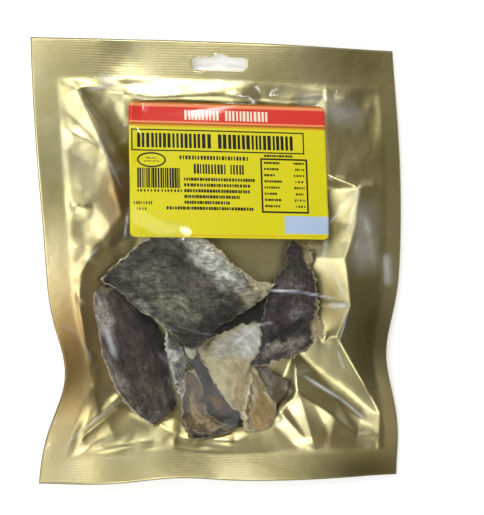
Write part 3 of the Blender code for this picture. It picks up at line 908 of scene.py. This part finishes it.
# A crest is the line round the fish where the back turns down to the table. At places along a side
# it has its distance out from the middle, and how far it stands over the border.
CRESTS = (
    (
        "right",
        (-88.0, -43.0, -25.0, 2.0, 22.0, 43.0, 50.0, 85.0, 106.0),
        (93.0, 67.0, 75.0, 72.0, 79.0, 81.0, 63.0, 61.0, 62.0),
        (1.0, 6.4, 6.2, 4.6, 3.2, 2.6, 2.4, 1.2, 0.2),
    ),
    (
        "left",
        (-104.0, -75.0, -48.0, -22.0, -5.0, 9.0, 27.0, 60.0, 98.0),
        (-66.0, -70.0, -75.0, -79.0, -77.0, -70.0, -55.0, -63.0, -79.0),
        (0.2, 0.2, 0.5, 1.0, 1.2, 1.4, 1.8, 1.8, 0.6),
    ),
    (
        "top",
        (-70.0, -40.0, 0.0, 40.0, 84.0),
        (98.0, 93.0, 95.0, 93.0, 98.0),
        (0.4, 1.0, 0.7, 0.4, 0.2),
    ),
    (
        "low",
        (-92.0, -56.0, -20.0, 10.0, 30.0, 44.0, 62.0, 80.0),
        (-108.0, -80.0, -100.0, -102.0, -93.0, -74.0, -86.0, -101.0),
        (0.6, 2.2, 1.4, 1.4, 2.0, 3.4, 2.2, 0.8),
    ),
)


def line_place(x, y, start, end):
    """How far along a line each place lies, 0 at its start and 1 at its end, and how far aside."""
    run_x = end[0] - start[0]
    run_y = end[1] - start[1]
    length = math.hypot(run_x, run_y)
    t = ((x - start[0]) * run_x + (y - start[1]) * run_y) / length**2
    return t, np.abs((y - start[1]) * run_x - (x - start[0]) * run_y) / length


def ridge(x, y, start, end, high, half_wide):
    """A straight fold: a tent with hollow sides across its line, that fades at both ends."""
    t, aside = line_place(x, y, start, end)
    fade = np.clip(1.2 - np.abs(2 * t - 1), 0.0, 0.5) / 0.5
    return high * fade * np.maximum(1 - aside / half_wide, 0.0) ** 1.3


def folds(x, y, inside, front):
    """The tight folds from the fish to the seals, joined where they meet by their highest one."""
    total = 0.0
    for start, end, front_high, back_high, half_wide in FOLDS:
        total = total + ridge(x, y, start, end, front_high if front else back_high, half_wide) ** FOLD_POWER
    return total ** (1 / FOLD_POWER) * np.clip(inside / 7, 0, 1)


def facet_noise(x, y, size, seed):
    """Crumples from -1 to 1: random heights on a turned, bent lattice, joined by flat triangles."""
    u = (0.88 * x + 0.48 * y) / size + 0.35 * lattice_noise(x, y, 1.3 * size, seed + 1) + 30
    v = (0.88 * y - 0.48 * x) / size + 0.35 * lattice_noise(x, y, 1.3 * size, seed + 2) + 30
    near, right, up, far, fu, fv = lattice_cell(u, v, seed)
    below = near + fu * (right - near) + fv * (far - right)
    above = near + fv * (up - near) + fu * (far - up)
    return np.where(fu > fv, below, above)


def crest_height(x, y, inside):
    """The long creases round the fish: the film falls slowly from them to the seal, and steeply inwards."""
    highest = np.full_like(x, -99.0)
    for side, places, lines, rises in CRESTS:
        along, across = (y, x) if side in ("right", "left") else (x, y)
        beyond = (across - np.interp(along, places, lines)) * (1 if side in ("right", "top") else -1)
        rise = np.interp(along, places, rises)
        height = rise * inside / (inside + np.maximum(beyond, 0.0) + 1e-6)
        highest = np.maximum(highest, height - CREST_FALL * np.maximum(-beyond, 0.0))
    return border_height(x, y) - 0.2 + highest


def back_start(x, y, inside):
    """The back's smooth height: a soft step from the border to the table, with slow dents and folds."""
    step = 1 - soft_step(np.clip(inside / BACK_RUN, 0.0, 1.0))
    dents = 0.8 * lattice_noise(x, y, 30.0, 3)
    dents = dents + 1.2 * facet_noise(x, y, 24.0, 7) + 0.4 * facet_noise(x, y, 9.0, 9)
    dents = dents * np.clip(inside / 10, 0, 1) * (0.25 + 0.75 * step)
    bowl = (border_height(x, y) - 0.2) * step + BACK_LOW
    crest = crest_height(x, y, inside)
    joined = (bowl + crest + np.sqrt((bowl - crest) ** 2 + 1.2)) / 2
    return joined + dents + BACK_FOLD_SHARE * folds(x, y, inside, False) * (0.25 + 0.75 * step)


def back_limits(x, y):
    """The back stays on the table and under the pieces."""
    return BACK_LOWEST, np.minimum(room_at(BACK_CEILING, x, y), BACK_HIGHEST)


BACK_CEILING = np.maximum(widened(ROOM_LOW, 1, np.minimum) - UNDER_FISH, 0.5)
SPARE_EVERYWHERE = 0.002
BACK_SPARE_SHARE = 0.4
SPARE_PLACES = (
    (-78, -50, 22, 40, 0.010),
    (70, -60, 28, 40, 0.007),
    (0, -100, 90, 16, 0.003),
    (-75, 60, 24, 50, 0.003),
)
# Painted light on the gold film, as soft ovals: place, two reaches and strength. The amber ovals
# are a painted warm reflection at the left; the others are painted shade, darker where the film
# mirrors the dark side of the room and in the shadowed gap beside the low piece.
PAINTED_SHARE_MOST = 0.85
PAINTED_REFLECTION_AND_SHADE = {
    "amber": ((-84, -50, 19, 42, 0.85), (-58, 38, 8, 20, 0.7)),
    "painted_shade": (
        (88, -44, 16, 34, 0.75),
        (84, -122, 30, 12, 0.7),
        (84, 116, 26, 14, 0.3),
        (-24, -80, 6, 18, 0.8),
        (-72, -76, 14, 10, 0.25),
        (-92, -70, 13, 32, 0.8),
        (-78, -42, 9, 24, 0.3),
        (62, -22, 11, 24, 0.9),
    ),
}


def soft_ovals(x, y, places):
    """The sum of soft ovals, each with its place, its two reaches and its height in the middle."""
    total = 0.0
    for at_x, at_y, reach_x, reach_y, high in places:
        total = total + high * np.exp(-(((x - at_x) / reach_x) ** 2) - ((y - at_y) / reach_y) ** 2)
    return total


def spare_length(x, y):
    """The film's spare length: a little everywhere, and more at the waist and the lower corners."""
    return SPARE_EVERYWHERE + soft_ovals(x, y, SPARE_PLACES)


def back_spare(x, y):
    """The back lies flatter, with less length to spare."""
    return BACK_SPARE_SHARE * spare_length(x, y)


def limp(x, y):
    """Bare film hardly resists a bend."""
    return FILM_STIFF + 0 * x


SLOT_WIDE = 32.5
SLOT_TALL = 7.7
SLOT_PLACE = (0.3, 113.1)
NUB_WIDE = 9.5
NUB_TALL = 1.9
SEAL_EASE = 5.0
BACK_WELD_DROP = 0.04


def slot_distance(x, y):
    """Signed distance to the hang slot's edge: a bar with round ends, joined with a low nub on top."""
    radius = SLOT_TALL / 2
    run = SLOT_WIDE / 2 - radius
    off_x = x - SLOT_PLACE[0]
    off_y = y - SLOT_PLACE[1]
    bar = np.hypot(off_x - np.clip(off_x, -run, run), off_y) - radius
    nub_round = (NUB_WIDE**2 / 4 + NUB_TALL**2) / (2 * NUB_TALL)
    nub = np.hypot(off_x, off_y - (radius + NUB_TALL - nub_round)) - nub_round
    nub = np.maximum(nub, radius - 1.0 - off_y)
    return np.minimum(bar, nub)


def cut_slot(points):
    """Moves the grid's points just inside the slot out to its edge, and says which cells stay."""
    x = points[..., 0]
    y = points[..., 1]
    gone = slot_distance(x, y) < 0
    corners = gone[:-1, :-1] & gone[:-1, 1:] & gone[1:, 1:] & gone[1:, :-1]
    for _ in range(3):
        far = slot_distance(x, y)
        slope_x = (slot_distance(x + 0.01, y) - far) / 0.01
        slope_y = (slot_distance(x, y + 0.01) - far) / 0.01
        near = gone & (far < 0) & (far > -1.6)
        x = np.where(near, x - far * slope_x, x)
        y = np.where(near, y - far * slope_y, y)
    points[..., 0] = x
    points[..., 1] = y
    return points, ~corners


def gold_film_material():
    """Metallised film: a warm mirror that its fine crinkles blur, with a duller welded border, and a painted
    warm reflection and painted shade in its colour.
    """
    made, tree = new_material("metallised_gold_film")
    place = add(tree, "ShaderNodeTexCoord").outputs["Object"]
    cloud = noise(tree, place, 28.0, 3.0).outputs["Fac"]
    crinkle = noise(tree, place, 80.0, 4.0).outputs["Fac"]
    colour = mixed(tree, spread(tree, cloud, 0.35, 0.65), linear("c8bd88"), linear("d4ca9c"))
    # The two stored shares mixed in here are painted light: the first a warm reflection, the second darker
    # reflections and shade.
    for painted_tint, tone in (("amber", "b08448"), ("painted_shade", "5e5330")):
        colour = mixed(tree, stored(tree, painted_tint), colour, linear(tone))
    ribs = add(tree, "ShaderNodeTexWave", {"Vector": place, "Scale": 210.0}, bands_direction="Y")
    on_seal = worked(tree, "MULTIPLY", ribs.outputs["Fac"], stored(tree, "seal"))
    height = worked(tree, "ADD", crinkle, worked(tree, "MULTIPLY", on_seal, 0.07))
    bumps = add(tree, "ShaderNodeBump", {"Height": height, "Strength": 0.22, "Distance": 0.001}).outputs[0]
    solid_surface(tree, {"Base Color": colour, "Metallic": 1.0, "Roughness": 0.32, "Normal": bumps})
    return made


back_points = settled_film(back_start, back_spare, limp, BACK_PUSH, back_limits, BACK_SEED)
on_border = INSIDE <= 1e-5
border_low = border_height(PLAN_X, PLAN_Y) - BACK_WELD_DROP
ease = soft_step(np.clip(INSIDE / SEAL_EASE, 0, 1))
back_points[..., 2] = border_low + (back_points[..., 2] - border_low) * ease
back_points, back_keep = cut_slot(back_points)
gold_film = gold_film_material()
gold_back = thin_sheet("gold_back_film", back_points, FILM_THICK, back_keep, gold_film)
store(gold_back, "seal", "FLOAT", sheet_values(on_border, back_keep))
# The painted warm reflection and the painted shade, stored as shares for the gold film's colour.
for painted_tint, places in PAINTED_REFLECTION_AND_SHADE.items():
    share = np.minimum(soft_ovals(PLAN_X, PLAN_Y, places), PAINTED_SHARE_MOST)
    store(gold_back, painted_tint, "FLOAT", sheet_values(share, back_keep))
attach(gold_back, "root")
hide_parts("pouch")


# The clear front: cast polypropylene film, glossy and limp. It runs from the seals over the dried
# pieces like a tent, with ridges from their tips to the seals. A lump is a piece that holds it up:
# its place, half length, half width, turn and the film's height over it.
LUMPS = (
    (-20.0, -13.0, 44.0, 22.0, -22.0, 24.0),
    (-49.0, -55.0, 35.0, 14.0, -68.0, 15.0),
    (-8.0, -74.0, 25.0, 13.0, -55.0, 13.0),
    (12.0, -66.0, 28.0, 13.0, -55.0, 14.0),
    (39.0, -25.0, 30.0, 12.0, 78.0, 19.0),
)
LUMP_POWER = 6.0
FRONT_SEED = 5
FRONT_HIGHEST = 26.0
FRONT_LOWEST = 1.2
OVER_FISH = 0.35
FRONT_WELD_RISE = 0.16
FILM_GAP = 0.2
# A fish corner presses the film up under the sticker's lower edge, which turns it to the light.
CORNER_PRESS_PLACE = (-20.0, 9.0)
CORNER_PRESS_REACH = 9.5
CORNER_PRESS_RISE = 0.7
LABEL_WIDE = 111.2
LABEL_TALL = 76.5
LABEL_PLACE = (5.2, 51.6)
LABEL_FADE = 6.0
LABEL_STIFF = 0.6


def lump_distance(x, y, half_long, half_wide, turn):
    """Distance outside one piece's oval, nothing within it, for places measured from its middle."""
    along, aside = turned(x, y, turn)
    ratio = np.hypot(along / half_long, aside / half_wide)
    return np.where(ratio > 1, np.hypot(along, aside) * (1 - 1 / np.maximum(ratio, 1.0)), 0.0)


# Painted highlights and sheen on the clear film, mostly along its creases: each runs in a line from
# one place to another. Then come how white the painted highlight is and its half width.
PAINTED_HIGHLIGHTS = (
    ((25, -15.2), (46, -16.6), 0.6, 0.55),
    ((43, -16.4), (66, -21), 0.4, 0.5),
    ((5, -46), (19, -35), 0.5, 0.6),
    ((16, -35), (29, -33), 0.25, 0.5),
    ((-64, -33), (-58, -53), 0.28, 1.5),
    ((97, 6), (98, -15), 0.24, 2.4),
    ((82, 38), (84, -10), 0.13, 8.0),
    ((42, 97), (86, 80), 0.13, 7.0),
    ((-56, -75), (-95, -108), 0.22, 0.5),
    ((-90, -34), (-80, -39), 0.12, 0.6),
    ((-80, -39), (-71, -55), 0.12, 0.6),
    ((-68, 106), (-57, 98), 0.30, 2.6),
    ((-74, 97), (-62, 99), 0.25, 1.4),
    ((84, 27), (85, 17), 0.26, 1.6),
    ((80, 15), (77, 5), 0.22, 1.2),
    ((60, 15), (57, -4), 0.2, 1.2),
    ((45, -63), (70, -79), 0.6, 0.6),
    ((66, -76), (85, -92), 0.45, 0.5),
    ((81, 43), (61, 21), 0.4, 0.6),
    ((81, 43), (72, 14), 0.4, 0.6),
    ((60, 1), (73, -25), 0.4, 0.5),
    ((73, -25), (66, -48), 0.4, 0.5),
    ((66, -50), (71, -62), 0.35, 0.5),
    ((60, -24), (73, -25), 0.55, 1.2),
    ((-84, 104), (-54, 40), 0.2, 0.6),
    ((-67, 9), (-76, -1), 0.3, 0.5),
    ((-51, 29), (-53, 12), 0.25, 0.5),
)


def under_label(x, y):
    """One under the sticker, nothing from a few millimetres outside it."""
    off_x = np.abs(x - LABEL_PLACE[0]) - LABEL_WIDE / 2
    off_y = np.abs(y - LABEL_PLACE[1]) - LABEL_TALL / 2
    return np.clip(1 - np.maximum(off_x, off_y) / LABEL_FADE, 0, 1)


def front_start(x, y, inside):
    """The front's smooth height: straight film from the seals up to the pieces, then its ridges."""
    border = border_height(x, y)
    total = np.zeros_like(x)
    for at_x, at_y, half_long, half_wide, turn, top in LUMPS:
        outside = lump_distance(x - at_x, y - at_y, half_long, half_wide, turn)
        share = inside / (inside + outside + 1e-6)
        total = total + (np.maximum(top - border, 0.0) * share) ** LUMP_POWER
    dents = 0.7 * facet_noise(x, y, 17.0, 27) + 0.3 * facet_noise(x, y, 8.0, 29)
    dents = dents * np.clip(inside / 10, 0, 1) * (1 - under_label(x, y))
    return border + 0.2 + total ** (1 / LUMP_POWER) + folds(x, y, inside, True) + dents


FRONT_FLOOR = np.maximum(softened(widened(ROOM_TOP, 2, np.maximum), 3) + OVER_FISH, FRONT_LOWEST)


def front_limits(x, y):
    """The front stays over the pieces and under the pouch's full height."""
    return room_at(FRONT_FLOOR, x, y), FRONT_HIGHEST


def front_stiffness(x, y):
    """The film is limp, but stiff where the sticker backs it."""
    return FILM_STIFF + LABEL_STIFF * under_label(x, y)


def front_spare(x, y):
    """The front's spare length, none of it under the sticker."""
    return spare_length(x, y) * (1 - under_label(x, y))


def painted_highlight_share(x, y):
    """How much painted highlight whitens the film along its creases: full on a crease's line, fading at its
    ends.
    """
    share = np.zeros_like(x)
    for start, end, highlight_white, half_wide in PAINTED_HIGHLIGHTS:
        t, aside = line_place(x, y, start, end)
        line = highlight_white * bump(aside, half_wide) * np.clip(4 * t, 0, 1) * np.clip(4 - 4 * t, 0, 1)
        share = np.maximum(share, line * (0.75 + 0.25 * lattice_noise(x, y, 3.0, 61)))
    return share


def clear_film_material():
    """Clear film: nearly all light goes through, and the rest is a soft sheen with a sharp gloss in it.

    Along its creases, and in a few wide patches, a painted highlight and sheen turn it white.
    """
    made, tree = new_material("clear_polypropylene_film")
    place = add(tree, "ShaderNodeTexCoord").outputs["Object"]
    crinkle = noise(tree, place, 160.0, 2.0).outputs["Fac"]
    bumps = add(tree, "ShaderNodeBump", {"Height": crinkle, "Strength": 0.05, "Distance": 0.001}).outputs[0]
    clear = add(tree, "ShaderNodeBsdfTransparent", {"Color": (0.97, 0.97, 0.96, 1.0)})
    sharp = add(tree, "ShaderNodeBsdfGlossy", {"Color": (1, 1, 1, 1), "Roughness": 0.06, "Normal": bumps})
    soft = add(tree, "ShaderNodeBsdfGlossy", {"Color": (1, 1, 1, 1), "Roughness": 0.24, "Normal": bumps})
    gloss = add(tree, "ShaderNodeMixShader", {0: 0.65, 1: soft.outputs[0], 2: sharp.outputs[0]})
    facing = add(tree, "ShaderNodeLayerWeight", {"Blend": 0.5, "Normal": bumps}).outputs["Facing"]
    share = worked(tree, "MULTIPLY_ADD", worked(tree, "POWER", facing, 5.0), 0.5, 0.0055)
    both = add(tree, "ShaderNodeMixShader", {0: share, 1: clear.outputs[0], 2: gloss.outputs[0]})
    # A white diffuse layer, mixed in by the stored share, is a painted highlight and sheen along the film's
    # creases.
    highlight_white = add(tree, "ShaderNodeBsdfDiffuse", {"Color": (0.85, 0.88, 0.92, 1.0)})
    painted_highlight = stored(tree, "painted_highlight")
    both = add(tree, "ShaderNodeMixShader", {0: painted_highlight, 1: both.outputs[0], 2: highlight_white.outputs[0]})
    add(tree, "ShaderNodeOutputMaterial", {"Surface": both.outputs[0]})
    return made


front_points = settled_film(front_start, front_spare, front_stiffness, 0.0, front_limits, FRONT_SEED)
from_press_x = front_points[..., 0] - CORNER_PRESS_PLACE[0]
from_press_y = front_points[..., 1] - CORNER_PRESS_PLACE[1]
front_points[..., 2] += CORNER_PRESS_RISE * bump(np.hypot(from_press_x, from_press_y), CORNER_PRESS_REACH)
front_points[..., 2] = np.maximum(front_points[..., 2], back_points[..., 2] + FILM_GAP)
border_top = border_height(PLAN_X, PLAN_Y) + FRONT_WELD_RISE
front_points[..., 2] = np.where(on_border, border_top, front_points[..., 2])
front_points, front_keep = cut_slot(front_points)
clear_film = clear_film_material()
clear_front = thin_sheet("clear_front_film", front_points, FILM_THICK, front_keep, clear_film)
# Painted highlights and sheen, stored on the clear film for its white layer.
painted_highlights = painted_highlight_share(front_points[..., 0], front_points[..., 1])
store(clear_front, "painted_highlight", "FLOAT", sheet_values(painted_highlights, front_keep))
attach(clear_front, "root")
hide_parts("pouch")


# The sticker: glossy paper with a yellow, red and orange print, stuck on the clear front. Its words
# and its mark are left as plain bars and blocks.
LABEL_TURN = math.radians(-0.8)
LABEL_LEAN = -0.028
LABEL_ROUND = 3.0
LABEL_THICK = 0.12
LABEL_LIFT = 0.35
INKS = ("yellow", "red", "peach", "amber", "gold", "blue", "black", "cream")
INK_COLOURS = ("dad01c", "d6382c", "f09060", "b06818", "d8a820", "b1c4dc", "1f1b10", "f4e6c8")
SNAP = 0.25
LINE_ENDS = (70.3, 66.9, 67.5, 60.8, 55.0)
RING_PLACE = (12.25, 33.25)
RING_STEPS = 72
# A printed row of bars has its left and right end, its top and low edge, the ranges of the bars'
# widths and gaps, its ink and the seed of its random widths.
PRINTED_ROWS = (
    (31.0, 50.5, 4.25, 10.0, (1.0, 1.5), (0.75, 1.0), "cream", 1),
    (54.0, 78.5, 4.25, 10.0, (1.0, 1.5), (0.75, 1.0), "cream", 2),
    (4.5, 46.5, 18.0, 26.25, (1.25, 2.0), (0.75, 1.0), "black", 3),
    (49.5, 92.0, 18.0, 26.25, (1.25, 2.0), (0.75, 1.0), "black", 4),
    (27.75, 66.25, 30.5, 32.75, (0.75, 1.5), (0.5, 0.75), "black", 5),
    (35.5, 54.0, 35.25, 40.75, (0.75, 1.25), (0.5, 0.75), "black", 6),
    (56.0, 63.5, 35.25, 40.75, (0.75, 1.25), (0.5, 0.75), "black", 7),
    (9.0, 15.5, 32.0, 32.5, (1.5, 3.0), (0.5, 0.5), "black", 8),
    (8.0, 16.5, 33.75, 34.25, (1.5, 3.0), (0.5, 0.5), "black", 9),
    (4.25, 28.75, 37.75, 49.0, (0.5, 1.25), (0.25, 0.5), "black", 10),
    (4.25, 28.75, 49.75, 51.25, (0.75, 1.0), (0.75, 1.25), "black", 11),
    (20.0, 68.25, 59.25, 61.0, (0.75, 1.5), (0.25, 0.5), "black", 20),
    (2.25, 13.25, 56.5, 58.25, (0.5, 1.0), (0.5, 1.0), "black", 21),
    (4.0, 10.0, 60.0, 61.5, (0.5, 1.0), (0.5, 1.0), "black", 22),
    (75.25, 92.0, 29.0, 30.25, (0.75, 1.5), (0.25, 0.5), "black", 23),
)


def front_height_at(x, y):
    """The settled front's height at each place, between its grid's points."""
    row = GRID_UP // 2
    column = GRID_ACROSS // 2
    across = (x - PLAN_X[row, 0]) / (PLAN_X[row, -1] - PLAN_X[row, 0]) * (GRID_ACROSS - 1)
    up = (y - PLAN_Y[0, column]) / (PLAN_Y[-1, column] - PLAN_Y[0, column]) * (GRID_UP - 1)
    i = np.clip(np.floor(across).astype(int), 0, GRID_ACROSS - 2)
    j = np.clip(np.floor(up).astype(int), 0, GRID_UP - 2)
    fu = np.clip(across - i, 0, 1)
    fv = np.clip(up - j, 0, 1)
    z = front_points[..., 2]
    return blended(z[j, i], z[j, i + 1], z[j + 1, i], z[j + 1, i + 1], fu, fv)


def bars(left, right, top, low, widths, gaps, ink, seed):
    """A row of upright or level bars with random widths and gaps, from one side to the other."""
    pick = np.random.RandomState(seed)
    made = []
    at = left
    while at < right - widths[0]:
        wide = min(pick.uniform(*widths), right - at)
        made.append((at, top, at + wide, low, ink))
        at += wide + pick.uniform(*gaps)
    return made


def frame_bars(left, right, top, low, line, ink):
    """A rectangle's outline as four bars."""
    return [
        (left, top, right, top + line, ink),
        (left, low - line, right, low, ink),
        (left, top, left + line, low, ink),
        (right - line, top, right, low, ink),
    ]


def print_layout():
    """Every printed field and bar in millimetres from the sticker's top left corner, the last on top."""
    made = [
        (0, 0, 112, 1.0, "amber"),
        (0, 1.0, 112, 2.75, "peach"),
        (0, 2.75, 112, 11.0, "red"),
        (0, 11.0, 112, 12.0, "peach"),
        (0, 12.0, 112, 13.25, "amber"),
        (0, 13.25, 112, 14.25, "gold"),
        (28.0, 74.75, 109.0, 75.25, "gold"),
        (85.75, 63.5, 112, 73.5, "blue"),
    ]
    made += frame_bars(1.25, 98.5, 15.75, 28.25, 0.75, "black")
    made += frame_bars(73.0, 100.0, 31.0, 62.0, 1.0, "black")
    for row in PRINTED_ROWS:
        made += bars(*row)
    for line, right in enumerate(LINE_ENDS):
        top = 43.0 + 3.25 * line
        made += bars(30.0, right, top, top + 1.75, (0.75, 1.5), (0.25, 0.5), "black", 12 + line)
    for row in range(8):
        top = 33.0 + 3.5 * row
        low = top + 1.25
        made += bars(75.0, 85.0 - 1.5 * (row % 3), top, low, (0.75, 1.5), (0.25, 0.5), "black", 30 + row)
        made += bars(92.0 + 0.75 * (row % 2), 98.0, top, low, (0.5, 1.25), (0.25, 0.75), "black", 40 + row)
    return made


def grid_stops(edges, length, step):
    """Grid lines at every edge, snapped and never apart by more than step."""
    stops = np.unique(np.clip(np.round(np.array(edges) / SNAP) * SNAP, 0, length))
    filled = [stops[:1]]
    for near, far in zip(stops[:-1], stops[1:]):
        filled.append(np.linspace(near, far, int(math.ceil((far - near) / step)) + 1)[1:])
    return np.concatenate(filled)


def sticker_paper(ink, hex_colour):
    """Coated sticker paper in one ink, with a smooth half gloss."""
    made, tree = new_material("sticker_paper_" + ink)
    solid_surface(
        tree,
        {
            "Base Color": linear(hex_colour),
            "Roughness": 0.45,
            "Specular IOR Level": 0.15,
            "Coat Weight": 0.25,
            "Coat Roughness": 0.05,
        },
    )
    return made


def label_place(right, down):
    """A place on the sticker, in millimetres from its top left corner, as x and y in the frame."""
    flat_y = LABEL_TALL / 2 - down
    flat_x = right - LABEL_WIDE / 2 + LABEL_LEAN * flat_y
    x = LABEL_PLACE[0] + flat_x * math.cos(LABEL_TURN) - flat_y * math.sin(LABEL_TURN)
    y = LABEL_PLACE[1] + flat_x * math.sin(LABEL_TURN) + flat_y * math.cos(LABEL_TURN)
    return x, y


layout = print_layout()
edges_right = [0, LABEL_WIDE] + [row[0] for row in layout] + [row[2] for row in layout]
edges_down = [0, LABEL_TALL] + [row[1] for row in layout] + [row[3] for row in layout]
stops_right = grid_stops(edges_right, LABEL_WIDE, 1.5)
stops_down = grid_stops(edges_down, LABEL_TALL, 1.0)
right, down = np.meshgrid(stops_right, stops_down[::-1])
aside = np.maximum(np.abs(down - LABEL_TALL / 2) - (LABEL_TALL / 2 - LABEL_ROUND), 0.0)
inset = LABEL_ROUND - np.sqrt(np.maximum(LABEL_ROUND**2 - aside**2, 0.0))
drawn_in = (right - LABEL_WIDE / 2) * (1 - inset / (LABEL_WIDE / 2)) + LABEL_WIDE / 2
label_x, label_y = label_place(drawn_in, down)
label_points = np.stack([label_x, label_y, front_height_at(label_x, label_y) + LABEL_LIFT], -1)
middle_right = (right[:-1, :-1] + right[:-1, 1:]) / 2
middle_down = (down[:-1, :-1] + down[1:, :-1]) / 2
ink_number = np.zeros(middle_right.shape, np.int32)
for left, top, far, low, ink in layout:
    printed = (middle_right > left) & (middle_right < far) & (middle_down > top) & (middle_down < low)
    ink_number[printed] = INKS.index(ink)
papers = [sticker_paper(ink, colour) for ink, colour in zip(INKS, INK_COLOURS)]
label = thin_sheet("sticker", label_points, LABEL_THICK, np.ones(ink_number.shape, bool), papers[0])
for paper in papers[1:]:
    label.data.materials.append(paper)
numbers = np.zeros(len(label.data.polygons), np.int32)
numbers[: ink_number.size] = ink_number.ravel()
label.data.polygons.foreach_set("material_index", numbers)

turns = np.linspace(0, 2 * math.pi, RING_STEPS, endpoint=False)[:, None]
ring_out = np.array([8.0, 8.0, 7.1, 7.1])
ring_up = np.array([4.3, 4.3, 3.4, 3.4])
ring_right = RING_PLACE[0] + ring_out * np.cos(turns)
ring_x, ring_y = label_place(ring_right, RING_PLACE[1] - ring_up * np.sin(turns))
ring_z = front_height_at(ring_x, ring_y) + np.array([0.32, 0.39, 0.39, 0.32])
corner = np.arange(RING_STEPS * 4).reshape(RING_STEPS, 4)
wrapped = np.concatenate([corner, corner[:1]])
wrapped = np.concatenate([wrapped, wrapped[:, :1]], 1)
cells = [wrapped[:-1, :-1], wrapped[1:, :-1], wrapped[1:, 1:], wrapped[:-1, 1:]]
ring_faces = np.stack(cells, -1).reshape(-1, 4)
ring_points = np.stack([ring_x, ring_y, ring_z], -1).reshape(-1, 3)
ring = put_mesh("sticker_ring", ring_points, ring_faces, papers[INKS.index("black")])
face_outwards(ring)
for piece in (label, ring):
    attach(piece, "root")
    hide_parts("label")
